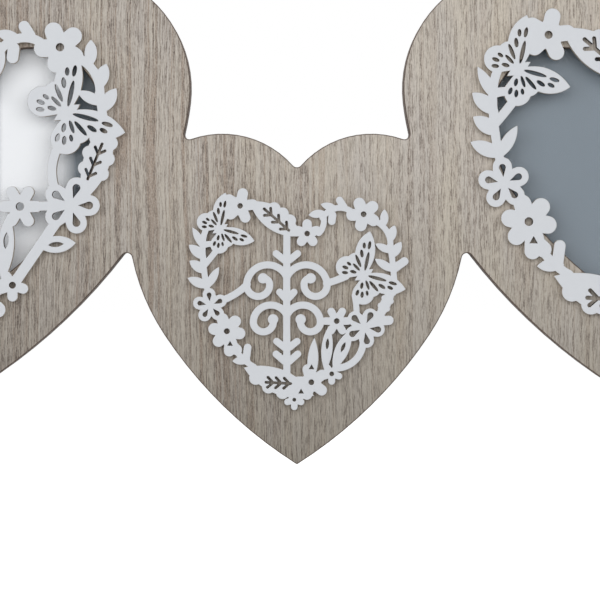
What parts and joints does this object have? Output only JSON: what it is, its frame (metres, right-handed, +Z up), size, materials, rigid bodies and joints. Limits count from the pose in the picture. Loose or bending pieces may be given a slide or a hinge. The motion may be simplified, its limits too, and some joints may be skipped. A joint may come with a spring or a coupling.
{
  "type": "heart shaped photo frame",
  "caption": "Wall-hung photo frame cut as overlapping hearts in a wood-faced board, with glazed heart windows, white openwork wreaths and turn buttons behind.",
  "frame": {"origin": "midway between the entry holes of the two keyhole hanger plates, on the board's back face", "axes": "+Z up, the front faces -Y, +Y points to the wall, +X is right as seen from the front"},
  "size_m": [0.4116, 0.0184, 0.191],
  "materials": {
    "board_core": "bare fibreboard, darker cut edge",
    "oak_face": "matt greyed oak, grain upright",
    "white_paint": "matt white painted fibreboard",
    "pane": "clear",
    "insert_paper": "matt grey print",
    "grey_card": "raw",
    "hardboard": "smooth hardboard",
    "plated_steel": "zinc plated",
    "felt": "felt"
  },
  "bodies": {
    "frame": {"heart_board": "board_core", "wood_veneer": "oak_face", "centre_wreath": "white_paint", "left_wreath": "white_paint", "left_glazing": "pane", "left_photo_insert": "insert_paper", "left_filler_card": "grey_card", "left_back_panel": "hardboard", "left_turn_button_screws": "plated_steel", "left_hanger_plate": "plated_steel", "right_wreath": "white_paint", "right_glazing": "pane", "right_photo_insert": "insert_paper", "right_filler_card": "grey_card", "right_back_panel": "hardboard", "right_turn_button_screws": "plated_steel", "right_hanger_plate": "plated_steel", "hanger_screws": "plated_steel", "wall_pads": "felt"},
    "left_turn_button_upper_outer": {"left_turn_button_upper_outer": "plated_steel"},
    "left_turn_button_upper_inner": {"left_turn_button_upper_inner": "plated_steel"},
    "left_turn_button_lower_outer": {"left_turn_button_lower_outer": "plated_steel"},
    "left_turn_button_lower_inner": {"left_turn_button_lower_inner": "plated_steel"},
    "right_turn_button_upper_outer": {"right_turn_button_upper_outer": "plated_steel"},
    "right_turn_button_upper_inner": {"right_turn_button_upper_inner": "plated_steel"},
    "right_turn_button_lower_outer": {"right_turn_button_lower_outer": "plated_steel"},
    "right_turn_button_lower_inner": {"right_turn_button_lower_inner": "plated_steel"}
  },
  "joints": [
    {"name": "left_upper_outer_pivot", "type": "hinge", "parent": "frame", "child": "left_turn_button_upper_outer", "pos_m": [-0.14495, 0.0006, 0.01315], "axis": [0, 1, 0], "continuous": true},
    {"name": "left_upper_inner_pivot", "type": "hinge", "parent": "frame", "child": "left_turn_button_upper_inner", "pos_m": [-0.1019, 0.0006, 0.01315], "axis": [0, 1, 0], "continuous": true},
    {"name": "left_lower_outer_pivot", "type": "hinge", "parent": "frame", "child": "left_turn_button_lower_outer", "pos_m": [-0.15782, 0.0006, -0.08252], "axis": [0, 1, 0], "continuous": true},
    {"name": "left_lower_inner_pivot", "type": "hinge", "parent": "frame", "child": "left_turn_button_lower_inner", "pos_m": [-0.08903, 0.0006, -0.08252], "axis": [0, 1, 0], "continuous": true},
    {"name": "right_upper_outer_pivot", "type": "hinge", "parent": "frame", "child": "right_turn_button_upper_outer", "pos_m": [0.14495, 0.0006, 0.01315], "axis": [0, 1, 0], "continuous": true},
    {"name": "right_upper_inner_pivot", "type": "hinge", "parent": "frame", "child": "right_turn_button_upper_inner", "pos_m": [0.1019, 0.0006, 0.01315], "axis": [0, 1, 0], "continuous": true},
    {"name": "right_lower_outer_pivot", "type": "hinge", "parent": "frame", "child": "right_turn_button_lower_outer", "pos_m": [0.15782, 0.0006, -0.08252], "axis": [0, 1, 0], "continuous": true},
    {"name": "right_lower_inner_pivot", "type": "hinge", "parent": "frame", "child": "right_turn_button_lower_inner", "pos_m": [0.08903, 0.0006, -0.08252], "axis": [0, 1, 0], "continuous": true}
  ]
}
